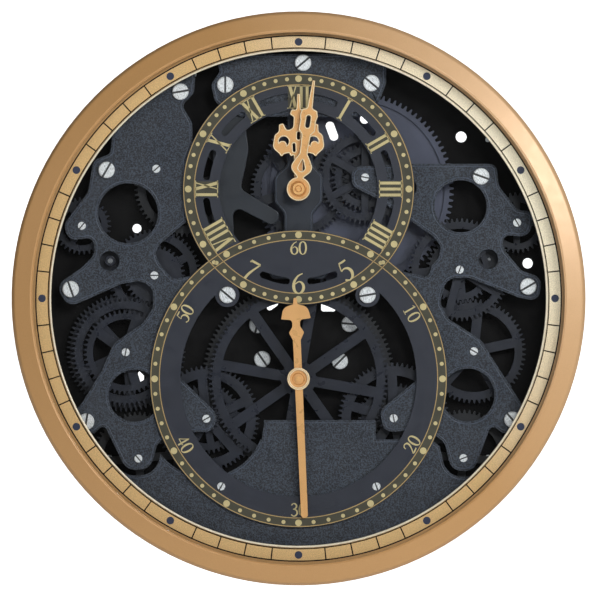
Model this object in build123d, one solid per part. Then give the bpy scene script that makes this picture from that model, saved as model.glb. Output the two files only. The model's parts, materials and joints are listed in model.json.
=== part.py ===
from build123d import *
from math import cos, radians, sin, tan
import os

# Round skeleton wall clock with two overlapping dial rings, open gear trains and two quartz drives.
# Frame: the origin lies on the wall plane, on the axis of the round case. +Z is up, +X is to the
# viewer's right and the front of the clock faces -Y. Flat pieces are drawn in (x, z) and given two
# depths, which are distances from the wall plane towards the viewer. Everything is in millimetres.

# ---- driving dimensions -------------------------------------------------------------------------
CASE_R = 178.2            # outside of the bezel: a 356 mm clock
CASE_DEPTH = 62.0         # wall to the crest of the bezel
SHELL_R = 176.5           # outside of the back shell's side wall
SHELL_WALL = 2.5
RING_IN_R = 153.6         # inside of the chapter ring
BEZEL_IN_R = 165.0        # inside of the bezel
LENS_R = 170.7            # glass, which sits in the bezel
SKIRT_BACK = 44.0         # rear edge of the bezel's skirt
BASE_R = 161.0            # base plate
PLATE_EDGE_R = 157.6      # bridges end here, hidden behind the chapter ring
UPPER = (0.0, 68.0)       # axis of the hour and minute hands
LOWER = (0.0, -50.0)      # axis of the seconds hand
UPPER_DIAL_R = 72.0
UPPER_OPENING_R = 49.2
LOWER_DIAL_R = 92.4
LOWER_OPENING_R = 73.4

# depths from the wall: (back, front)
BACK_WALL = (0.0, 2.5)
CASE_HEAD = (0.5, 2.2)    # heads of the screws through the back
COVER = (3.5, 6.0)        # rear covers of the two drives
DRIVE = (6.0, 19.5)       # cases of the two drives
BASE = (19.5, 22.0)       # base plate, which carries the drives
INNER_BRIDGE = (35.5, 38.0)  # two brackets just behind the bridges
BRIDGE = (38.0, 40.5)     # textured plates in front of the gears
DIAL = (41.0, 42.6)
SECONDS_HAND = (45.4, 46.4)
HOUR_HAND = (48.0, 49.0)
MINUTE_HAND = (50.4, 51.4)
RING = (51.0, 53.0)       # chapter ring
LENS = (55.5, 57.5)

# gear trains: four layers of wheels between the base plate and the bridges
MODULE = 1.0
WHEEL = 1.8               # thickness of a wheel
LAYER = {"rear": 25.0, "third": 27.8, "second": 30.6, "front": 33.4}
PIN_R = 1.5               # fixed steel pins that the wheels run on
RUNNING = 0.05            # radial clearance of a wheel on its pin or a shaft in its bush
HUB_R = 3.2
END_PLAY = 0.3
ROOT_SHARE = 0.29         # half width of a tooth at its root, as a share of the pitch
TIP_SHARE = 0.11          # half width of a tooth at its tip

# fasteners
LARGE_HEAD_R = 5.1
LARGE_HEAD = 2.2          # height of a large screw's head
LARGE_SLOT = 1.3          # width of the slot in a large head
LARGE_SHANK_R = 2.0
SMALL_HEAD_R = 2.5
SMALL_HEAD = 1.0
SMALL_SLOT = 0.8
SMALL_SHANK_R = 0.8
LARGE_SCREW_LENGTH = 9.0  # under the head
SMALL_SCREW_LENGTH = 4.5
PILLAR_R = 4.0
CASE_SCREW_R = 1.5
CASE_HEAD_R = 3.0
CASE_SCREW_CIRCLE = 154.0
CASE_SCREW_ANGLES = (40, 115, 165, 220, 270, 320)
BUSH_R = 4.0              # threaded bush of each drive, which holds it to the base plate
BUSH_FRONT = 24.6

# keyhole plate in the back
HANGER = (0.0, 134.0)     # centre of the keyhole's round part
HANGER_HOLE_R = 4.5
HANGER_SLOT_R = 2.2
HANGER_SLOT_RISE = 9.0
HANGER_PLATE = (2.5, 3.7)

# fixed toothed disc on the base plate
ORNAMENT = (35.5, 67.5)
ORNAMENT_MODULE = 1.2
ORNAMENT_TEETH = 100
ORNAMENT_GROOVE_R = 53.8  # inner edge of the groove inside its teeth

# the hands at rest show 12:01:30
MINUTE_TURN = 8.0         # minute hand, clockwise from twelve
SECONDS_TURN = 2.5        # seconds hand, anticlockwise from straight down

# drive geometry, from the drive's own arbor
DRIVE_SIZE = 56.0
DRIVE_WALL = 1.5
DRIVE_CORNER = 3.0
DIVIDER_Z = -11.5         # wall between the wheels and the battery bay
BATTERY_R = 7.0
BATTERY_LENGTH = 48.0
BATTERY = (11.3, -19.5)   # axis of the battery: depth from the wall, height from the arbor
HOUR_TUBE_R = 2.6
MINUTE_ARBOR_R = 1.2
SECONDS_ARBOR_R = 1.5
POST_R = 0.6              # post of the minute wheel
STEP_POST_R = 0.4         # posts of the step wheels and rotors
CENTRE_MODULE = 0.28
STEP_MODULE = 0.25
SECONDS_MODULE = 0.3
LOWER_STEP_MODULE = 0.45
MOTION_MODULE = 0.5
HOUR_MODULE = 0.48
STEP_LAYER = (8.5, 9.5)
CENTRE_LAYER = (11.0, 12.0)
MOTION_LAYER = (13.5, 15.0)
HOUR_LAYER = (16.0, 17.4)

# large slotted screws: those through the bridges, those on the dial plate and those on the base
BRIDGE_SCREWS = [(2.8, 146.6), (-45.6, 132.9), (45.3, 133.9), (-73.5, 128.6), (-119.4, 79.9),
                 (-141.7, 5.8), (113.5, 75.9), (142.8, 7.4), (-132.1, -76.6), (133.0, -75.4)]
DIAL_SCREWS = [(-44.3, 2.1), (42.9, 2.1)]
BASE_SCREWS = [(-25.7, -16.5), (-22.6, -37.9), (31.9, -15.9), (25.7, -39.1)]
DIAL_PINS = [(-48.1, -116.9), (48.4, -116.9)]
HIDDEN_PILLARS = [(-10.0, 20.0), (10.0, 20.0), (-45.0, 108.0), (-45.0, 38.0)]
# round holes right through the base plate and the back wall: (x, z, radius)
SIGHT_HOLES = [(101.4, 100.7, 3.1), (142.9, 21.9, 2.9), (-100.8, 43.6, 2.5), (109.4, 44.3, 1.4),
               (41.2, 111.8, 2.6)]


# ---- drawing helpers ----------------------------------------------------------------------------
def slab(face, depths):
    """A flat piece cut from a face drawn in (x, z), between two depths from the wall."""
    back, front = depths
    return Plane.XZ.offset(back) * extrude(face, front - back)


def disc(centre, radius):
    return Pos(*centre) * Circle(radius)


def discs(centres, radius):
    return Sketch() + [disc(centre, radius) for centre in centres]


def bar(start, end, width):
    """A straight bar with round ends."""
    sweep_line = Vector(*end) - Vector(*start)
    middle = (Vector(*start) + Vector(*end)) * 0.5
    turn = Vector(1, 0).get_signed_angle(sweep_line)
    return Pos(middle.X, middle.Y) * Rot(0, 0, turn) * SlotCenterToCenter(sweep_line.length, width)


def rod(centre, radius, depths):
    return slab(disc(centre, radius), depths)


def outline(corners):
    """A closed face from corners (x, z, radius), each rounded to its radius if its edges have room."""
    points = [Vector(x, z) for x, z, radius in corners]
    radii = []
    for index, (x, z, radius) in enumerate(corners):
        before = points[index - 1] - points[index]
        after = points[(index + 1) % len(points)] - points[index]
        room = 0.48 * min(before.length, after.length)
        radii.append(min(radius, room * tan(radians(before.get_angle(after) / 2))))
    return make_face(FilletPolyline(*points, radius=radii, close=True))


def turned(corners):
    """A solid of revolution about the case axis, from corners (radius, depth, rounding)."""
    points = [(radius, -depth) for radius, depth, rounding in corners]
    radii = [rounding for radius, depth, rounding in corners]
    return revolve(make_face(FilletPolyline(*points, radius=radii, close=True)), Axis.Y, 360)


def polar(centre, radius, angle):
    return (centre[0] + radius * cos(radians(angle)), centre[1] + radius * sin(radians(angle)))


def save(name, shape):
    export_step(shape, f"parts/{name}.step")


CASE_SCREWS = [polar((0, 0), CASE_SCREW_CIRCLE, angle) for angle in CASE_SCREW_ANGLES]


# ---- gears --------------------------------------------------------------------------------------
class Arbor:
    """A gear axis: its place and, for each layer, the teeth and the angle of one tooth."""

    def __init__(self, centre, wheels):
        self.centre = centre
        self.wheels = wheels


def drive(driver, layer, teeth, bearing, module=MODULE):
    """The arbor of a wheel in mesh with the driver's wheel in that layer, at the given bearing."""
    driver_teeth, driver_phase = driver.wheels[layer]
    centre = polar(driver.centre, module * (driver_teeth + teeth) / 2, bearing)
    phase = bearing + 180 - (driver_phase - bearing) * driver_teeth / teeth + 180 / teeth
    return Arbor(centre, {layer: (teeth, phase)})


def toothed(teeth, phase, module=MODULE):
    """The face of a gear on the origin, with straight-sided teeth and one tooth at `phase`."""
    root = module * (teeth / 2 - 1.25)
    tip = module * (teeth / 2 + 1.0)
    corners = ((-ROOT_SHARE, root), (-TIP_SHARE, tip), (TIP_SHARE, tip), (ROOT_SHARE, root))
    points = []
    for tooth in range(teeth):
        for share, radius in corners:
            points.append(polar((0, 0), radius, phase + (tooth + share) * 360 / teeth))
    return make_face(Polyline(*points, close=True))


def spoke_windows(hub, rim, spokes, width, turn):
    """The openings between the spokes of a wheel on the origin."""
    windows = Circle(rim) - Circle(hub)
    for spoke in range(spokes):
        arm = Pos((hub + rim) / 2, 0) * Rectangle(rim - hub + 4, width)
        windows -= Rot(0, 0, turn + 360 * spoke / spokes) * arm
    return windows


def cluster(arbor, openings, hub_depths, bore=PIN_R + RUNNING):
    """All the wheels on one arbor, on one hub, with a bore for its pin."""
    part = slab(Circle(HUB_R), hub_depths)
    for layer, (teeth, phase) in arbor.wheels.items():
        face = toothed(teeth, phase)
        if layer in openings:
            face -= spoke_windows(*openings[layer])
        part += slab(face, (LAYER[layer], LAYER[layer] + WHEEL))
    part -= slab(Circle(bore), (hub_depths[0] - 1, hub_depths[1] + 1))
    return Pos(arbor.centre[0], 0, arbor.centre[1]) * part


# the going train: every wheel follows the great wheel on the seconds arbor
great = Arbor(LOWER, {"front": (110, 0), "rear": (118, 0)})
left_lower = drive(great, "front", 15, 203.4)
left_lower.wheels.update({"second": (64, 0), "third": (42, 0)})
left_middle = drive(left_lower, "second", 66, 140.5)
left_middle.wheels.update({"front": (51, 0), "rear": (72, 0)})
left_bottom = drive(left_lower, "third", 56, 210.4)
left_upper = drive(left_middle, "second", 36, 69.5)
left_upper.wheels["third"] = (56, 0)
left_idler = drive(left_upper, "second", 22, 161.8)
left_outer = drive(left_idler, "second", 34, 128.9)
left_hidden = drive(left_upper, "third", 60, 71.6)
right_lower = drive(great, "front", 18, -22.5)
right_lower.wheels.update({"second": (67, 0), "third": (42, 0)})
right_middle = drive(right_lower, "second", 63, 39.8)
right_bottom = drive(right_lower, "third", 58, -29.8)
right_upper = drive(right_middle, "second", 40, 99.9)
right_upper.wheels.update({"third": (16, 0), "front": (62, 0)})
right_idler = drive(right_upper, "third", 22, 19.8)
right_outer = drive(right_idler, "third", 36, 52.0)
# the upper train: a wheel on the hour tube and one beside it
hour_gear = Arbor(UPPER, {"third": (58, 0)})
upper_right = drive(hour_gear, "third", 26, 10.0)
upper_right.wheels.update({"front": (56, 0), "second": (40, 0)})

FULL_HUB = (LAYER["rear"] - 1, BRIDGE[0] - END_PLAY)
MID_HUB = (LAYER["third"] - END_PLAY, BRIDGE[0] - END_PLAY)

FULL_PIN = (BASE[1], BRIDGE[0])
# name: (arbor, {layer: (hub, rim, spokes, width, turn)}, depths of the hub, depths of the pin)
TRAIN = {
    "left_lower_gear": (left_lower, {"second": (8, 25, 5, 6.0, 24), "third": (6.5, 15.5, 4, 4.5, 10)},
                        MID_HUB, FULL_PIN),
    "left_middle_gear": (left_middle, {"front": (7, 20.5, 5, 6.0, 72), "second": (8, 27, 5, 5.0, 60),
                                       "rear": (9, 32, 4, 5.0, 45)}, FULL_HUB, FULL_PIN),
    "left_bottom_gear": (left_bottom, {"third": (8, 22, 4, 5.0, 5)}, MID_HUB, FULL_PIN),
    "left_upper_gear": (left_upper, {"third": (8, 22, 5, 5.0, 30)}, MID_HUB, FULL_PIN),
    "left_idler_pinion": (left_idler, {}, (LAYER["second"], BRIDGE[0] - END_PLAY),
                          (LAYER["second"], BRIDGE[0])),
    "left_outer_gear": (left_outer, {"second": (5.5, 12, 3, 4.0, 0)}, MID_HUB, FULL_PIN),
    "left_hidden_gear": (left_hidden, {"third": (7, 24, 5, 5.0, 15)},
                         (LAYER["third"] - END_PLAY, LAYER["third"] + WHEEL + 1),
                         (BASE[1], LAYER["third"] + WHEEL + 1)),
    "right_lower_gear": (right_lower, {"second": (8, 26.5, 5, 6.0, 20),
                                       "third": (6.5, 14.5, 4, 4.5, 10)}, MID_HUB, FULL_PIN),
    "right_middle_gear": (right_middle, {"second": (8, 25.5, 5, 6.0, 12)}, MID_HUB, FULL_PIN),
    "right_bottom_gear": (right_bottom, {"third": (8, 22.5, 4, 5.0, 85)}, MID_HUB, FULL_PIN),
    "right_upper_gear": (right_upper, {"second": (6, 15, 4, 5.0, 95), "front": (7, 25.5, 5, 5.0, 40)},
                         MID_HUB, FULL_PIN),
    "right_idler_pinion": (right_idler, {}, (LAYER["third"] - END_PLAY, LAYER["third"] + WHEEL),
                           (BASE[1], LAYER["third"] + WHEEL)),
    "right_outer_gear": (right_outer, {"third": (6, 13, 4, 4.0, 90)}, MID_HUB, FULL_PIN),
    "upper_right_gear": (upper_right, {"front": (8, 22.5, 6, 4.5, 30), "second": (6, 14.5, 5, 4.0, 0)},
                         MID_HUB, (BASE[1] + WHEEL + 0.7, BRIDGE[0])),
}


# small screws hold the front ends of the pins, and one more sits on the left bridge
PIVOTS = [arbor.centre for arbor, openings, hub_depths, pin_depths in TRAIN.values()
          if pin_depths[1] == BRIDGE[0] and arbor is not left_idler]
PLATE_SCREW = (-88.5, 80.6)


def make_train():
    """The wheels of the train and the fixed pins they run on, each pin bored for its screw."""
    pins = Part()
    for name, (arbor, openings, hub_depths, pin_depths) in TRAIN.items():
        save(name, cluster(arbor, openings, hub_depths))
        pins += rod(arbor.centre, PIN_R, pin_depths)
    bores = slab(discs(PIVOTS, SMALL_SHANK_R), (BRIDGE[1] - SMALL_SCREW_LENGTH, BRIDGE[1]))
    save("gear_pins", pins - bores)


def make_great_wheel():
    """The eight-spoked great wheel and the thin wheel behind it, both on the seconds arbor."""
    front_face = toothed(*great.wheels["front"]) - spoke_windows(11, 48.5, 8, 6.6, 35)
    front = slab(front_face, (LAYER["front"], LAYER["front"] + WHEEL))
    front += slab(Circle(6), (LAYER["rear"] + WHEEL, LAYER["front"] + WHEEL + 1.2))
    front -= slab(Circle(SECONDS_ARBOR_R), (LAYER["rear"], BRIDGE[1]))
    rear_face = toothed(*great.wheels["rear"]) - spoke_windows(9, 53.5, 8, 5.0, 35)
    rear = slab(rear_face, (LAYER["rear"], LAYER["rear"] + WHEEL))
    rear -= slab(Circle(SECONDS_ARBOR_R), (BASE[0], BRIDGE[0]))
    place = Pos(LOWER[0], 0, LOWER[1])
    save("great_wheel", place * front)
    save("great_wheel_rear", place * rear)


def make_hour_gear():
    """The spoked wheel on the hour tube, seen behind the centre bridge."""
    face = toothed(*hour_gear.wheels["third"]) - spoke_windows(8, 23.5, 5, 6.0, 54)
    part = slab(face, (LAYER["third"], LAYER["third"] + WHEEL))
    part += slab(Circle(5), (LAYER["third"] - 1, LAYER["third"] + WHEEL + 2))
    part -= slab(Circle(HOUR_TUBE_R), (BASE[1], BRIDGE[0]))
    save("upper_centre_gear", Pos(UPPER[0], 0, UPPER[1]) * part)


# ---- case ---------------------------------------------------------------------------------------
def drive_square(size, corner):
    return RectangleRounded(size, size, corner)


def sight_windows(grow):
    """Openings right through the clock, where the wall shows: round holes and four slots."""
    holes = Sketch() + [disc((x, z), radius + grow) for x, z, radius in SIGHT_HOLES]
    holes += bar((19.6, 101.0), (22.0, 107.5), 4.8 + 2 * grow)
    holes += bar((-18.0, -3.2), (-14.6, -5.6), 3.0 + 2 * grow)
    holes += Pos(18.6, -4.6) * RectangleRounded(8.4 + 2 * grow, 6.4 + 2 * grow, 1.5)
    holes += bar((-98.3, -47.2), (-98.3, -50.6), 3.2 + 2 * grow)
    return holes


def make_case():
    wall = slab(Circle(SHELL_R), BACK_WALL)
    side = slab(Circle(SHELL_R) - Circle(SHELL_R - SHELL_WALL), (BACK_WALL[1], RING[0]))
    shell = wall + side
    shell += slab(discs(CASE_SCREWS, 5.0), (BACK_WALL[1], BASE[0]))
    for centre in (UPPER, LOWER):
        window = Pos(*centre) * drive_square(DRIVE_SIZE + 3, DRIVE_CORNER)
        shell -= slab(window, (BACK_WALL[0] - 1, BACK_WALL[1] + 1))
    shell -= slab(sight_windows(0.6), (BACK_WALL[0] - 1, BACK_WALL[1] + 1))
    recess = Pos(*HANGER) * RectangleRounded(34, 30, 3)
    shell -= slab(recess, (BACK_WALL[0] - 1, BACK_WALL[1] + 1))
    shell -= slab(discs(CASE_SCREWS, CASE_SCREW_R), (BACK_WALL[0] - 1, BASE[1]))
    shell -= slab(discs(CASE_SCREWS, CASE_HEAD_R), (BACK_WALL[0] - 1, CASE_HEAD[1]))
    save("back_shell", shell)

    save("bezel", turned([(BEZEL_IN_R, LENS[1], 0), (BEZEL_IN_R, 61.2, 0.5), (166.4, CASE_DEPTH, 0.8),
                          (176.6, 58.0, 2.5), (CASE_R, 55.0, 2.0), (CASE_R, SKIRT_BACK, 0.6),
                          (SHELL_R + 0.3, SKIRT_BACK, 0), (SHELL_R + 0.3, RING[1], 0),
                          (LENS_R + 0.3, RING[1], 0), (LENS_R + 0.3, LENS[1], 0)]))
    save("lens", slab(Circle(LENS_R), LENS))
    seal = Circle(LENS_R) - Circle(LENS_R - 3.7)
    save("lens_gasket", slab(seal, (RING[1], LENS[0])))
    save("chapter_ring", turned([(RING_IN_R, 48.6, 0), (RING_IN_R, RING[1] + 0.5, 0.3),
                                 (RING_IN_R + 1.2, RING[1] + 0.5, 0.3), (RING_IN_R + 1.6, RING[1], 0.2),
                                 (SHELL_R - 0.4, RING[1], 0), (SHELL_R - 0.4, RING[0], 0),
                                 (RING_IN_R + 1.2, RING[0], 0), (RING_IN_R + 1.2, 48.6, 0)]))
    plate = Pos(*HANGER) * RectangleRounded(42, 38, 4)
    keyhole = disc(HANGER, HANGER_HOLE_R)
    keyhole += bar(HANGER, (HANGER[0], HANGER[1] + HANGER_SLOT_RISE), 2 * HANGER_SLOT_R)
    ears = discs([(HANGER[0] - 17.5, HANGER[1]), (HANGER[0] + 17.5, HANGER[1])], 1.2)
    save("hanger", slab(plate - keyhole - ears, HANGER_PLATE))


def make_base():
    """The base plate behind the gears and the fixed toothed disc on it."""
    plate = Circle(BASE_R)
    for centre in (UPPER, LOWER):
        plate -= disc(centre, BUSH_R)
    plate -= Pos(*HANGER) * RectangleRounded(30, 26, 3)
    plate -= sight_windows(0.3)
    plate -= discs(CASE_SCREWS, CASE_SCREW_R) + discs(BASE_SCREWS, LARGE_SHANK_R)
    save("base_plate", slab(plate, BASE))
    face = Pos(*ORNAMENT) * toothed(ORNAMENT_TEETH, 1.0, ORNAMENT_MODULE)
    cuts = disc(UPPER, 8.0) + sight_windows(0.3) + disc(HIDDEN_PILLARS[1], PILLAR_R)
    cuts += Pos(*HANGER) * RectangleRounded(30, 26, 3)
    ornament = slab(face - cuts, (BASE[1], BASE[1] + WHEEL))
    raised = disc(ORNAMENT, ORNAMENT_GROOVE_R) - cuts
    ornament += slab(raised, (BASE[1] + WHEEL, BASE[1] + WHEEL + 0.7))
    groove = disc(ORNAMENT, ORNAMENT_GROOVE_R + 1.6) - disc(ORNAMENT, ORNAMENT_GROOVE_R)
    ornament -= slab(groove, (BASE[1] + 0.5, BASE[1] + WHEEL + 1))
    save("fixed_toothed_disc", ornament)


# ---- plates in front of the gears ---------------------------------------------------------------
BRIDGE_GAP = 3.6          # between the bottom bridge and the two side bridges
LEFT_WING = [
    (-92, 147, 0), (-64, 141, 4), (-65, 128, 5), (-72.5, 120, 4), (-66, 109, 8), (-66, 96, 8), (-70, 86, 6),
    (-70, 47.5, 0), (-86, 34, 4), (-89, 28.5, 3), (-87, 22.5, 3), (-81.5, 15.5, 3), (-78, 12, 3),
    (-67, 14, 0), (-75, -20, 0), (-79.5, -49, 0), (-73.5, -49.4, 0), (-50, -72.5, 7), (-54, -83, 6),
    (-67, -83, 0), (-83, -86, 5), (-88, -91, 5), (-92, -106, 9), (-107, -107, 9), (-121, -78, 3),
    (-127, -84, 0), (-146, -78, 0), (-134, -64, 0), (-123, -46, 5), (-115, -28, 8), (-97, -15.5, 8),
    (-90.5, -6, 8), (-90.5, 6, 6), (-98, 11, 8), (-110, 9, 8), (-128, 1, 5), (-143, -5.5, 7),
    (-151, 8, 7), (-135, 19, 6), (-127, 27, 8), (-127, 38, 5), (-143, 36, 7), (-146, 46, 7),
    (-131, 66, 6), (-127.5, 86, 6), (-117, 90, 4), (-116, 100, 0)]
RIGHT_WING = [
    (64, 83.7, 0), (114, 83.7, 0), (123, 83.7, 7), (124.5, 70, 8), (136, 55, 4), (146, 54, 5), (144, 38, 7),
    (127.5, 39.5, 5), (127, 31, 8), (139, 17, 6), (152, 13, 7), (149, -2, 7), (137, 0.5, 4), (106, 13, 8),
    (92, 12.5, 8), (88, -3, 8), (93, -12.5, 5), (113, -25.5, 5), (118.5, -34, 5), (139, -66, 0),
    (150, -80, 0), (127, -84, 3), (120, -78, 4), (109, -107.5, 8), (95, -107, 8), (91, -90, 8),
    (84, -84.5, 0), (66, -82.3, 0), (53, -83.5, 8), (50.5, -69.5, 7), (74.5, -50, 0), (82, -20, 0),
    (64, 17, 0), (80.5, 13, 3), (83, 21, 3), (87, 25, 3), (88.5, 32, 4), (84.5, 38, 4), (70, 48.3, 0),
    (48, 62.5, 0), (33, 70, 7), (33, 82, 7), (48, 82.3, 0)]
CENTRE_BRIDGE = [
    (-7, 124, 0), (9, 124, 0), (9, 83, 5), (15, 76, 6), (15, 60, 6), (9, 53, 5), (9, 30, 0), (18, 22, 4),
    (18, 12, 4), (-18, 12, 4), (-18, 22, 4), (-9, 30, 0), (-9, 53, 5), (-15, 60, 6), (-15, 76, 6),
    (-7, 83, 5)]
TOP_BRIDGE = [
    (-52, 152, 0), (-49, 141, 3), (-54.5, 133, 6), (-52, 122, 6), (-36, 113, 0), (36, 113, 0), (50, 122, 6),
    (54.5, 134, 6), (54.5, 152, 0)]
UPPER_LEFT_BRACKET = [
    (-53, 114, 0), (-34, 116, 6), (-31, 92, 12), (-36, 68, 4), (-11, 53, 4), (-15, 44.5, 4), (-41, 58, 4),
    (-40, 33, 4), (-54, 33, 4)]


def save_bridge(name, face):
    """A flat plate, ending behind the chapter ring, with holes for the screws through it."""
    face = face & Circle(PLATE_EDGE_R)
    face -= discs(BRIDGE_SCREWS, LARGE_SHANK_R)
    face -= discs(PIVOTS + DIAL_PINS + [PLATE_SCREW], SMALL_SHANK_R)
    save(name, slab(face, BRIDGE))


def make_bridges():
    left = outline(LEFT_WING)
    left -= disc((-106, 53), 18.6) + disc((-117.5, 23.2), 6.2) + disc((-102, -60.5), 16.2)
    save_bridge("left_bridge", left)
    right = outline(RIGHT_WING)
    right -= disc((100.8, 57.3), 16.2) + disc((117.9, 24.4), 6.2) + disc((105.3, -60.1), 16.5)
    right -= disc((68.0, 69.0), 5.6)
    save_bridge("right_bridge", right)
    bottom = Pos(0, -135.7) * Rectangle(400, 120)
    bottom -= Pos(-172.6, -75.7) * Rectangle(300, 24) + Pos(198, -75.7) * Rectangle(300, 24)
    bottom -= disc(left_lower.centre, 36.0)
    bottom -= offset(outline(LEFT_WING), BRIDGE_GAP) + offset(outline(RIGHT_WING), BRIDGE_GAP)
    bottom -= Pos(-140, -80) * Rectangle(60, 60) + Pos(140, -80) * Rectangle(60, 60)
    save_bridge("bottom_bridge", bottom)
    save_bridge("top_bridge", outline(TOP_BRIDGE))
    centre = outline(CENTRE_BRIDGE) - disc(UPPER, HOUR_TUBE_R + 0.4)
    save("centre_bridge", slab(centre, INNER_BRIDGE))
    save("upper_left_bracket", slab(outline(UPPER_LEFT_BRACKET), INNER_BRIDGE))


def make_dial():
    """One flat plate: two overlapping rings, with slots between the hour numerals."""
    upper = disc(UPPER, UPPER_DIAL_R)
    lower = disc(LOWER, LOWER_DIAL_R)
    plate = upper + lower
    plate -= disc(UPPER, UPPER_OPENING_R) - lower
    tabs = discs(DIAL_SCREWS, 7.5)
    plate -= disc(LOWER, LOWER_OPENING_R) - upper - tabs
    for hour in (0.5, 1.5, 2.5, 3.5, 5.5, 6.5, 8.5, 9.5, 10.5, 11.5):
        slot = Pos(*UPPER) * SlotArc(CenterArc((0, 0), 57.7, 82.5 - 30 * hour, 15), 4.2)
        plate -= slot
    plate -= discs(DIAL_SCREWS, LARGE_SHANK_R) + discs(DIAL_PINS, SMALL_SHANK_R)
    save("dial_plate", slab(plate, DIAL))


# ---- fasteners ----------------------------------------------------------------------------------
def screws(centres, head, shank, base, slot, first_turn):
    """Slotted screws: head is (radius, height), shank is (radius, length), each turned differently."""
    radius, height = head
    group = Part()
    for index, centre in enumerate(centres):
        screw = slab(Circle(radius), (base, base + height))
        rim = screw.edges().filter_by(GeomType.CIRCLE).sort_by(Axis.Y)[0]
        screw = chamfer(rim, 0.25 * height)
        cut = Rot(0, 0, first_turn + 50 * index) * Rectangle(2 * radius + 2, slot)
        screw -= slab(cut, (base + 0.55 * height, base + height + 1))
        screw += slab(Circle(shank[0]), (base - shank[1], base))
        group += Pos(centre[0], 0, centre[1]) * screw
    return group


def make_fasteners():
    head = (LARGE_HEAD_R, LARGE_HEAD)
    long_shank = (LARGE_SHANK_R, LARGE_SCREW_LENGTH)
    large = screws(BRIDGE_SCREWS, head, long_shank, BRIDGE[1], LARGE_SLOT, 40)
    large += screws(DIAL_SCREWS, head, long_shank, DIAL[1], LARGE_SLOT, 140)
    large += screws(BASE_SCREWS, head, (LARGE_SHANK_R, BASE[1] - BASE[0]), BASE[1], LARGE_SLOT, 75)
    save("large_screws", large)
    head = (SMALL_HEAD_R, SMALL_HEAD)
    shank = (SMALL_SHANK_R, SMALL_SCREW_LENGTH)
    small = screws(PIVOTS + [PLATE_SCREW], head, shank, BRIDGE[1], SMALL_SLOT, 30)
    small += screws(DIAL_PINS, head, shank, DIAL[1], SMALL_SLOT, 60)
    save("small_screws", small)

    pillars = slab(discs(BRIDGE_SCREWS, PILLAR_R), (BASE[1], BRIDGE[0]))
    pillars += slab(discs(HIDDEN_PILLARS, PILLAR_R), (BASE[1], INNER_BRIDGE[0]))
    pillars += slab(discs(DIAL_SCREWS, PILLAR_R), (BASE[1], DIAL[0]))
    pillars -= slab(discs(BRIDGE_SCREWS, LARGE_SHANK_R), (BRIDGE[1] - LARGE_SCREW_LENGTH, DIAL[1]))
    pillars -= slab(discs(DIAL_SCREWS, LARGE_SHANK_R), (DIAL[1] - LARGE_SCREW_LENGTH, DIAL[1]))
    save("pillars", pillars)

    shanks = slab(discs(CASE_SCREWS, CASE_SCREW_R), (CASE_HEAD[1], BASE[1]))
    heads = slab(discs(CASE_SCREWS, CASE_HEAD_R), CASE_HEAD)
    cross = Rectangle(4.0, 0.9) + Rectangle(0.9, 4.0)
    for centre in CASE_SCREWS:
        heads -= slab(Pos(*centre) * cross, (CASE_HEAD[0], CASE_HEAD[0] + 0.9))
    save("case_screws", heads + shanks)
    nuts = Part()
    for centre in (UPPER, LOWER):
        nut = Pos(*centre) * (RegularPolygon(6.2, 6) - Circle(BUSH_R))
        nuts += slab(nut, (BASE[1], BASE[1] + 2.4))
    save("bush_nuts", nuts)


# ---- drives -------------------------------------------------------------------------------------
centre_wheel = Arbor(UPPER, {"centre": (64, 0), "cannon": (12, 0), "hour": (40, 0)})
upper_step = drive(centre_wheel, "centre", 8, 30, CENTRE_MODULE)
upper_step.wheels["step"] = (60, 0)
upper_rotor = drive(upper_step, "step", 8, 45, STEP_MODULE)
minute_wheel = drive(centre_wheel, "cannon", 36, 160, MOTION_MODULE)
minute_wheel.wheels["hour"] = drive(centre_wheel, "hour", 10, 160, HOUR_MODULE).wheels["hour"]
setting = drive(minute_wheel, "cannon", 12, 100, MOTION_MODULE)
seconds_wheel = Arbor(LOWER, {"centre": (60, 0)})
lower_step = drive(seconds_wheel, "centre", 8, 30, SECONDS_MODULE)
lower_step.wheels["step"] = (32, 0)
lower_rotor = drive(lower_step, "step", 8, 45, LOWER_STEP_MODULE)


def gear(arbor, layer, depths, module):
    """One wheel of an arbor, in place."""
    teeth, phase = arbor.wheels[layer]
    return slab(Pos(*arbor.centre) * toothed(teeth, phase, module), depths)


def make_drive_case(name, centre, bore, posts, cover_posts, cover_holes):
    """A square case open at the back, with a threaded bush in front, and its rear cover."""
    x, z = centre
    body = slab(drive_square(DRIVE_SIZE, DRIVE_CORNER), DRIVE)
    inner = DRIVE_SIZE - 2 * DRIVE_WALL
    half = inner / 2
    wheel_room = Pos(0, (half + DIVIDER_Z + 0.5) / 2) * Rectangle(inner, half - DIVIDER_Z - 0.5)
    bay = Pos(0, (DIVIDER_Z - 0.5 - half) / 2) * Rectangle(inner, half + DIVIDER_Z - 0.5)
    body -= slab(wheel_room + bay, (DRIVE[0] - 1, DRIVE[1] - DRIVE_WALL + 0.5))
    body += slab(Circle(BUSH_R), (DRIVE[1] - 1, BUSH_FRONT))
    body -= slab(Circle(bore), (DRIVE[0], BUSH_FRONT + 1))
    body = Pos(x, 0, z) * body
    for post in posts:
        body += rod(post, POST_R, (MOTION_LAYER[0] - 0.5, DRIVE[1] - 1))
    save(f"{name}_drive_case", body)
    lid = drive_square(DRIVE_SIZE, DRIVE_CORNER)
    lid -= Pos(0, (DIVIDER_Z - 1 - half) / 2) * Rectangle(inner - 2, half + DIVIDER_Z - 1)
    cover = Pos(x, 0, z) * slab(lid, COVER)
    for post in cover_posts:
        cover += rod(post, STEP_POST_R, (COVER[1] - 1, CENTRE_LAYER[1] + 0.4))
    for hole in cover_holes:
        cover -= rod(hole, 1.5 + RUNNING, (COVER[0] - 1, COVER[1] + 1))
    save(f"{name}_drive_cover", cover)


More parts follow.
